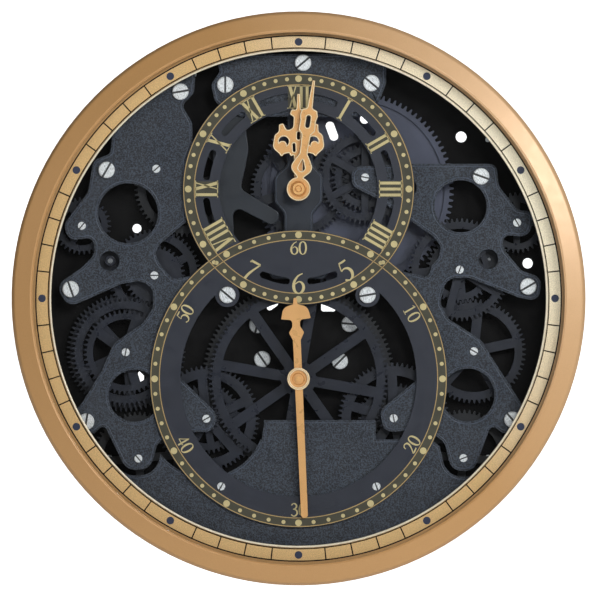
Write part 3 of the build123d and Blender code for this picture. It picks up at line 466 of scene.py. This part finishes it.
# Each digit is a set of pen strokes of (x, height, half width), on an em one unit high.
DIGITS = {
    "0": [[(0.3, 1.0, 0.03), (0.12, 0.86, 0.06), (0.05, 0.5, 0.075), (0.12, 0.14, 0.06), (0.3, 0.0, 0.03),
           (0.48, 0.14, 0.06), (0.55, 0.5, 0.075), (0.48, 0.86, 0.06), (0.3, 1.0, 0.03)]],
    "1": [[(0.3, 0.99, 0.05), (0.3, 0.5, 0.06), (0.3, 0.02, 0.06)], [(0.12, 0.84, 0.02), (0.3, 0.96, 0.04)],
          [(0.12, 0.02, 0.025), (0.48, 0.02, 0.025)]],
    "2": [[(0.07, 0.74, 0.05), (0.14, 0.92, 0.04), (0.32, 0.98, 0.04), (0.5, 0.86, 0.065),
           (0.48, 0.62, 0.06), (0.28, 0.3, 0.04), (0.06, 0.06, 0.04)],
          [(0.06, 0.05, 0.05), (0.3, 0.05, 0.06), (0.56, 0.08, 0.04)]],
    "3": [[(0.08, 0.84, 0.04), (0.2, 0.97, 0.03), (0.38, 0.95, 0.05), (0.48, 0.78, 0.065), (0.38, 0.6, 0.05),
           (0.2, 0.54, 0.025), (0.4, 0.5, 0.045), (0.53, 0.32, 0.07), (0.46, 0.1, 0.06), (0.26, 0.0, 0.035),
           (0.06, 0.12, 0.05)]],
    "4": [[(0.42, 0.98, 0.03), (0.24, 0.64, 0.025), (0.03, 0.3, 0.03)],
          [(0.03, 0.29, 0.035), (0.3, 0.29, 0.035), (0.58, 0.29, 0.035)],
          [(0.41, 0.98, 0.05), (0.41, 0.5, 0.065), (0.41, 0.0, 0.065)]],
    "5": [[(0.16, 0.95, 0.045), (0.34, 0.95, 0.05), (0.54, 0.97, 0.04)],
          [(0.17, 0.94, 0.025), (0.13, 0.75, 0.025), (0.1, 0.56, 0.025)],
          [(0.1, 0.55, 0.025), (0.27, 0.62, 0.035), (0.46, 0.54, 0.06), (0.54, 0.33, 0.075),
           (0.46, 0.1, 0.06), (0.26, 0.0, 0.035), (0.06, 0.1, 0.05)]],
    "6": [[(0.5, 0.98, 0.025), (0.28, 0.86, 0.04), (0.1, 0.6, 0.06), (0.06, 0.33, 0.075), (0.13, 0.1, 0.06),
           (0.31, 0.0, 0.03), (0.48, 0.1, 0.06), (0.55, 0.3, 0.07), (0.48, 0.5, 0.055), (0.32, 0.58, 0.03),
           (0.13, 0.46, 0.03)]],
    "7": [[(0.05, 0.84, 0.03), (0.07, 0.93, 0.04)],
          [(0.06, 0.94, 0.055), (0.3, 0.94, 0.055), (0.55, 0.95, 0.05)],
          [(0.55, 0.95, 0.035), (0.38, 0.6, 0.045), (0.25, 0.28, 0.06), (0.2, 0.0, 0.065)]],
}
DIGIT_STEP = 0.66         # from one digit of a number to the next, in ems
DIGIT_MIDDLE = 0.3        # x of the middle of each digit


def write_digits(flat, text, centre, height, turn):
    """Digits in a row, centred on a point, with the row turned clockwise by `turn`."""
    angle = math.radians(turn)
    right = Vector((math.cos(angle), -math.sin(angle)))
    up = Vector((math.sin(angle), math.cos(angle)))
    for index, digit in enumerate(text):
        shift = (index - (len(text) - 1) / 2) * DIGIT_STEP - DIGIT_MIDDLE
        for stroke in DIGITS[digit]:
            line = smooth_line(stroke)
            edges = ([], [])
            for place, point in enumerate(line):
                ahead = line[min(place + 1, len(line) - 1)] - line[max(place - 1, 0)]
                side = Vector((-ahead.y, ahead.x)).normalized() * point.z
                for edge, sign in zip(edges, (1, -1)):
                    x = (point.x + sign * side.x + shift) * height
                    z = (point.y + sign * side.y - 0.5) * height
                    spot = Vector(centre) + right * x + up * z
                    edge.append((spot.x, spot.y))
            flat.band(*edges)


# Each letter is its width, then strokes from (x, share of height) to (x, share of height) with a thickness.
LETTERS = {
    "I": (3.7, [((1.85, 0.0), (1.85, 1.0), 1.75)]),
    "V": (7.0, [((1.5, 1.0), (3.6, 0.0), 1.9), ((5.8, 1.0), (3.9, 0.0), 0.7)]),
    "X": (7.0, [((1.6, 1.0), (5.6, 0.0), 1.9), ((5.6, 1.0), (1.6, 0.0), 0.7)]),
}
SERIF = 0.55              # thickness of the lines along the letters' ends
SERIF_IN = 0.1            # how far these lines stop short at each side
BACKING_IN = 1.2          # how much narrower the shading behind a numeral is


def write_roman(flat, backing, text, centre, inner, outer, clockwise):
    """A Roman numeral with its foot towards the centre, and serif lines along both ends."""
    total = sum(LETTERS[letter][0] for letter in text)
    turn = math.radians(clockwise)
    right = Vector((math.cos(turn), -math.sin(turn)))
    up = Vector((math.sin(turn), math.cos(turn)))
    start = Vector(centre) + up * inner - right * total / 2
    tall = outer - inner

    def at(x, share):
        spot = start + right * x + up * share * tall
        return (spot.x, spot.y)

    x = 0.0
    for letter in text:
        width, strokes = LETTERS[letter]
        for low, high, thick in strokes:
            flat.bar(at(x + low[0], low[1]), at(x + high[0], high[1]), thick)
        x += width
    for share in (SERIF / 2 / tall, 1 - SERIF / 2 / tall):
        flat.bar(at(SERIF_IN, share), at(total - SERIF_IN, share), SERIF)
    if len(text) > 1:
        backing.bar(at(total / 2, 0.03), at(total / 2, 0.97), total - BACKING_IN)


# ---- printing on the dial -----------------------------------------------------------------------
# Radii of each dial's outer line, inner line and dots, and of its numerals.
UPPER_EDGE = 71.7
UPPER_LINE = 65.1
UPPER_DOTS = 68.6
ROMAN_IN = 50.0
ROMAN_OUT = 64.3
ARABIC_R = 58.6
LOWER_EDGE = 92.1
LOWER_LINE = 86.8
LOWER_DOTS = 89.5
SECONDS_R = 81.4
ARABIC_HEIGHT = 12.6
SECONDS_HEIGHT = 8.0
LINE = 0.55               # width of a printed line
FIVE_MINUTE_DOT = 2.1     # radii of the dots
MINUTE_DOT = 1.25

upper_band = Flat(DIAL_FRONT, 0.02)
upper_band.ring(UPPER, UPPER_LINE, UPPER_EDGE)
upper_band.finish("upper_dial_band", "print_olive")
lower_band = Flat(DIAL_FRONT, 0.03)
lower_band.ring(LOWER, LOWER_LINE, LOWER_EDGE)
lower_band.finish("lower_dial_band", "print_olive")

lines = Flat(DIAL_FRONT, 0.05)
for circle_centre, circle_radius in ((UPPER, UPPER_EDGE), (UPPER, UPPER_LINE), (LOWER, LOWER_EDGE),
                                     (LOWER, LOWER_LINE)):
    lines.ring(circle_centre, circle_radius - LINE, circle_radius)
lines.finish("dial_circles", "print_line")

dots = Flat(DIAL_FRONT, 0.07)
for dial_centre, dot_circle in ((UPPER, UPPER_DOTS), (LOWER, LOWER_DOTS)):
    for minute in range(60):
        dot_radius = FIVE_MINUTE_DOT if minute % 5 == 0 else MINUTE_DOT
        dots.dot(polar(dial_centre, dot_circle, 6 * minute), dot_radius)
dots.finish("dial_dots", "print_gold")

numerals = Flat(DIAL_FRONT, 0.08)
shading = Flat(DIAL_FRONT, 0.02)
for hour, text in ((12, "XII"), (1, "I"), (2, "II"), (3, "III"), (4, "IIII"), (8, "VIII"), (9, "IX"),
                   (10, "X"), (11, "XI")):
    write_roman(numerals, shading, text, UPPER, ROMAN_IN, ROMAN_OUT, 30 * hour)
for hour in (5, 6, 7):
    write_digits(numerals, str(hour), polar(UPPER, ARABIC_R, 30 * hour), ARABIC_HEIGHT, 30 * hour - 180)
numerals.finish("hour_numerals", "print_gold")
shading.finish("numeral_shading", "print_olive")

small_numerals = Flat(DIAL_FRONT, 0.08)
for number, facing in ((60, 0), (10, 60), (20, -60), (30, 0), (40, 60), (50, -60)):
    number_centre = polar(LOWER, SECONDS_R, 6 * (number % 60))
    write_digits(small_numerals, str(number), number_centre, SECONDS_HEIGHT, facing)
small_numerals.finish("seconds_numerals", "print_gold")

# ---- printing on the chapter ring ---------------------------------------------------------------
CASE = (0.0, 0.0)         # the middle of the case
RING_LIP_R = 154.2
TRACK_IN = 155.4          # radii of the two circles of the minute track
TRACK_OUT = 163.1
BEZEL_LIP_R = 165.5
MARK = 0.8                # width of a line of the track
HOUR_DOT = 2.4
track = Flat(RING_FRONT, 0.04)
track.ring(CASE, TRACK_IN - MARK / 2, TRACK_IN + MARK / 2, 360)
track.ring(CASE, TRACK_OUT - MARK / 2, TRACK_OUT + MARK / 2, 360)
for minute in range(60):
    if minute % 5:
        track.bar(polar(CASE, TRACK_IN, 6 * minute), polar(CASE, TRACK_OUT, 6 * minute), MARK)
track.finish("minute_track", "print_brown")
border = Flat(RING_FRONT, 0.03)
border.ring(CASE, TRACK_OUT + MARK / 2, BEZEL_LIP_R - 0.1, 360)
border.finish("ring_outer_border", "bezel")
hour_dots = Flat(RING_FRONT, 0.06)
for hour in range(12):
    hour_dots.dot(polar(CASE, (TRACK_IN + TRACK_OUT) / 2, 30 * hour), HOUR_DOT, 24)
hour_dots.finish("hour_dots", "print_blue")


# ---- thin raised lines: edges of the plates and hands, lips of the rings, hubs ------------------
def front_loops(mesh, depth):
    """The outlines of a mesh's flat front at a depth, each as a closed list of points in order."""
    made = bmesh.new()
    made.from_mesh(mesh)
    bmesh.ops.remove_doubles(made, verts=made.verts, dist=SAME_SPOT)
    faces = [face for face in made.faces
             if face.normal.y < -0.99 and abs(face.calc_center_median().y + depth * MM) < 0.00005]
    chosen = set(faces)
    following = {}
    for face in faces:
        for loop in face.loops:
            if not any(other in chosen for other in loop.edge.link_faces if other is not face):
                following[loop.vert] = loop.link_loop_next.vert
    loops = []
    while following:
        start, vert = following.popitem()
        loop = [start.co.copy()]
        while vert is not start:
            loop.append(vert.co.copy())
            vert = following.pop(vert)
        loops.append(loop)
    made.free()
    return loops


def inset(loop, distance):
    """A closed line moved into the plate. The viewer sees the front faces' corners go anticlockwise."""
    moved = []
    for index, point in enumerate(loop):
        before = (point - loop[index - 1]).normalized()
        after = (loop[(index + 1) % len(loop)] - point).normalized()
        sides = [Vector((-way.z, 0, way.x)) for way in (before, after)]
        middle = (sides[0] + sides[1]).normalized()
        stretch = 1 / max(0.6, middle.dot(sides[0]))
        moved.append(point + middle * distance * stretch)
    return moved


def beads(name, lines, thick, material, body):
    """Round beads along closed lines of points in metres, each with its share of the thickness."""
    curve = bpy.data.curves.new(name, "CURVE")
    curve.dimensions = "3D"
    curve.bevel_depth = thick * MM
    curve.bevel_resolution = 2
    for points, share in lines:
        spline = curve.splines.new("POLY")
        spline.points.add(len(points) - 1)
        for place, point in zip(spline.points, points):
            place.co = (*point, 1)
            place.radius = share
        spline.use_cyclic_u = True
    add_piece(name, curve, material, body)


def edge_beads(node, distance, thick, material="rim", shortest=40.0):
    """A raised line just inside every edge of a flat front that is longer than the shortest."""
    lines = []
    for loop in front_loops(NODES[node].data, front_of(node)):
        length = sum((point - loop[index - 1]).length for index, point in enumerate(loop))
        if length > shortest * MM:
            lines.append((inset(loop, distance * MM), 1.0))
    beads(f"{node}_edge_line", lines, thick, material, BODY_OF[node])


def circle_line(centre, radius, depth, steps=90):
    """A circle as points in metres, for beads."""
    spots = [polar(centre, radius, 360 * step / steps) for step in range(steps)]
    return [(x * MM, -depth * MM, z * MM) for x, z in spots]


HANDS = ("hour_hand", "minute_hand", "seconds_hand")
BRIDGES = ("left_bridge", "right_bridge", "bottom_bridge", "top_bridge")
SMOOTH_PLATES = ("dial_plate", "centre_bridge", "upper_left_bracket")
# The plates' edge beads are painted lighter than the plates, as painted highlight.
for plate in BRIDGES:
    edge_beads(plate, 1.6, 0.24)
edge_beads("centre_bridge", 1.2, 0.2)
# The hands' edge lines are pale gold, as painted highlight.
for hand in HANDS:
    edge_beads(hand, 0.4, 0.3, "hand_rim_highlight", 5.0)
# The ring's inner lip bead carries the near-white painted highlight.
ring_lip_painted_highlight = circle_line(CASE, RING_LIP_R, front_of("chapter_ring"), 360)
beads("ring_inner_lip", [(ring_lip_painted_highlight, 1.0)], 0.65, "lip", BODY)
bezel_lip = circle_line(CASE, BEZEL_LIP_R, front_of("bezel") - 0.5, 360)
beads("bezel_inner_lip", [(bezel_lip, 1.0)], 0.4, "bezel", BODY)
minute_hub = circle_line(UPPER, 4.4, front_of("minute_hand"))
nut_edge = circle_line(UPPER, 1.9, front_of("hand_nut"))
beads("minute_hub_rings", [(minute_hub, 1.0), (nut_edge, 0.5)], 0.65, "hub", BODY_OF["minute_hand"])
seconds_hub = circle_line(LOWER, 3.6, front_of("seconds_arbor") - 1.6)
beads("seconds_hub_rings", [(seconds_hub, 1.0)], 0.45, "hub", BODY_OF["seconds_hand"])
for plate in BRIDGES + SMOOTH_PLATES:
    rounded_copy(plate, 0.5)
for hand in HANDS:
    rounded_copy(hand, 0.4, 3)
for wheel in NODES:
    if SLOTS[wheel] in ("gear_slate", "gear_dark"):
        rounded_copy(wheel, 0.25, 1)
rounded_copy("fixed_toothed_disc", 0.25, 1)


# ---- painted shadows: dark strips in the screw slots --------------------------------------------
SLOT_DEPTH = 0.45         # share of a head's height
LARGE_HEAD = 2.2          # height of a head, then width of its slot
LARGE_SLOT = 1.3
SMALL_HEAD = 1.0
SMALL_SLOT = 0.8


def slot_floors(node, height, width):
    """A dark strip on the floor of the slot in every screw head of a node, as painted shadow."""
    made = bmesh.new()
    made.from_mesh(NODES[node].data)
    bmesh.ops.remove_doubles(made, verts=made.verts, dist=SAME_SPOT)
    slot_shadows = Flat(0.0, 0.04)
    seen = set()
    for first in made.verts:
        if first in seen:
            continue
        seen.add(first)
        group = [first]       # grows, while it is walked through, to all corners of one screw
        for vert in group:
            for edge in vert.link_edges:
                other = edge.other_vert(vert)
                if other not in seen:
                    seen.add(other)
                    group.append(other)
        front = min(vert.co.y for vert in group)
        floor = front + SLOT_DEPTH * height * MM
        spots = [Vector((vert.co.x, vert.co.z)) / MM for vert in group if abs(vert.co.y - floor) < 0.00002]
        middle = sum(spots, Vector((0.0, 0.0))) / len(spots)
        reach = max(spots, key=lambda spot: (spot - middle).length)
        side = [spot for spot in spots if (spot - reach).length < 1.5 * width]
        end = sum(side, Vector((0.0, 0.0))) / len(side)       # the middle of one end of the slot
        slot_shadows.depth = -floor / MM
        slot_shadows.bar(tuple(2 * middle - end), tuple(end), 0.96 * width)
    made.free()
    slot_shadows.finish(f"{node}_slot_floors", "slot")


slot_floors("large_screws", LARGE_HEAD, LARGE_SLOT)
slot_floors("small_screws", SMALL_HEAD, SMALL_SLOT)


# ---- stage, light and camera --------------------------------------------------------------------
REACH = -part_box("bezel")[0][1]      # from the wall to the front of the bezel
FRAME_WIDTH = 0.372       # what the picture takes in at the bezel
DISTANCE = 7.0            # camera to bezel
AIM_X = 0.0009            # the camera stands a hair off the clock's middle
AIM_Z = -0.001
SENSOR = 36.0             # width of the camera's sensor in its own millimetres
FLOOR = -1.2              # height of the studio floor
FLOOR_FRONT = -9.0
FLOOR_BACK = 11.0         # where the floor starts to curve up
CURVE = 2.0               # radius of that curve
WALL_TOP = 8.0
STUDIO_HALF = 9.0         # half the studio's width


def studio():
    """A pale floor that curves up into a pale wall far behind the clock. The paper glows though it is no
    lamp, faintly on the floor and fully on the wall, and so lights the clock too.
    """
    outline = [(FLOOR_FRONT, FLOOR), (FLOOR_BACK, FLOOR)]
    for turn in range(10, 100, 10):
        angle = math.radians(turn)
        outline.append((FLOOR_BACK + CURVE * math.sin(angle), FLOOR + CURVE - CURVE * math.cos(angle)))
    outline.append((FLOOR_BACK + CURVE, WALL_TOP))
    made = bmesh.new()
    rows = [[made.verts.new((x, y, z)) for x in (-STUDIO_HALF, STUDIO_HALF)] for y, z in outline]
    for row, above in zip(rows, rows[1:]):
        made.faces.new((row[0], row[1], above[1], above[0]))
    mesh = bpy.data.meshes.new("studio")
    made.to_mesh(mesh)
    made.free()
    for polygon in mesh.polygons:
        polygon.use_smooth = True
    paper = Paint("studio_glowing_paper", linear(250, 250, 250), 0.9, specular=0.0)
    paper.shader.inputs["Emission Color"].default_value = (1, 1, 1, 1)
    axes = paper.node("ShaderNodeSeparateXYZ")
    paper.link(paper.coordinates, axes.inputs["Vector"])
    # The glow is painted light: weak on the floor, full on the wall.
    glow = paper.spread(axes.outputs["Y"], FLOOR_BACK - 3, FLOOR_BACK + 1.5, 0.3, 1.0)
    paper.link(glow, paper.shader.inputs["Emission Strength"])
    mesh.materials.append(paper.material)
    backdrop = bpy.data.objects.new("studio", mesh)
    bpy.context.scene.collection.objects.link(backdrop)


def softbox(name, place, size, power):
    """A square light that looks at the middle of the clock's back."""
    lamp = bpy.data.lights.new(name, "AREA")
    lamp.size = size
    lamp.energy = power
    light = bpy.data.objects.new(name, lamp)
    bpy.context.scene.collection.objects.link(light)
    light.location = place
    light.rotation_euler = (-Vector(place)).to_track_quat("-Z", "Y").to_euler()


studio()
softbox("key_right", (1.25, -1.6, 0.62), 0.6, 19)
softbox("fill_left", (-1.5, -2.6, 0.5), 0.7, 8)
softbox("front", (0.75, -3.1, 1.0), 0.8, 30)

world = bpy.data.worlds.new("studio_air")
world.use_nodes = True
world.node_tree.nodes["Background"].inputs["Color"].default_value = (1, 1, 1, 1)
world.node_tree.nodes["Background"].inputs["Strength"].default_value = 0.08
bpy.context.scene.world = world
bpy.context.scene.view_settings.view_transform = "Standard"

camera_data = bpy.data.cameras.new("camera")
camera_data.sensor_width = SENSOR
camera_data.lens = SENSOR * DISTANCE / FRAME_WIDTH
camera_data.clip_end = 60
camera = bpy.data.objects.new("camera", camera_data)
camera.location = (AIM_X, -REACH - DISTANCE, AIM_Z)
camera.rotation_euler = (math.radians(90), 0, 0)
bpy.context.scene.collection.objects.link(camera)
bpy.context.scene.camera = camera
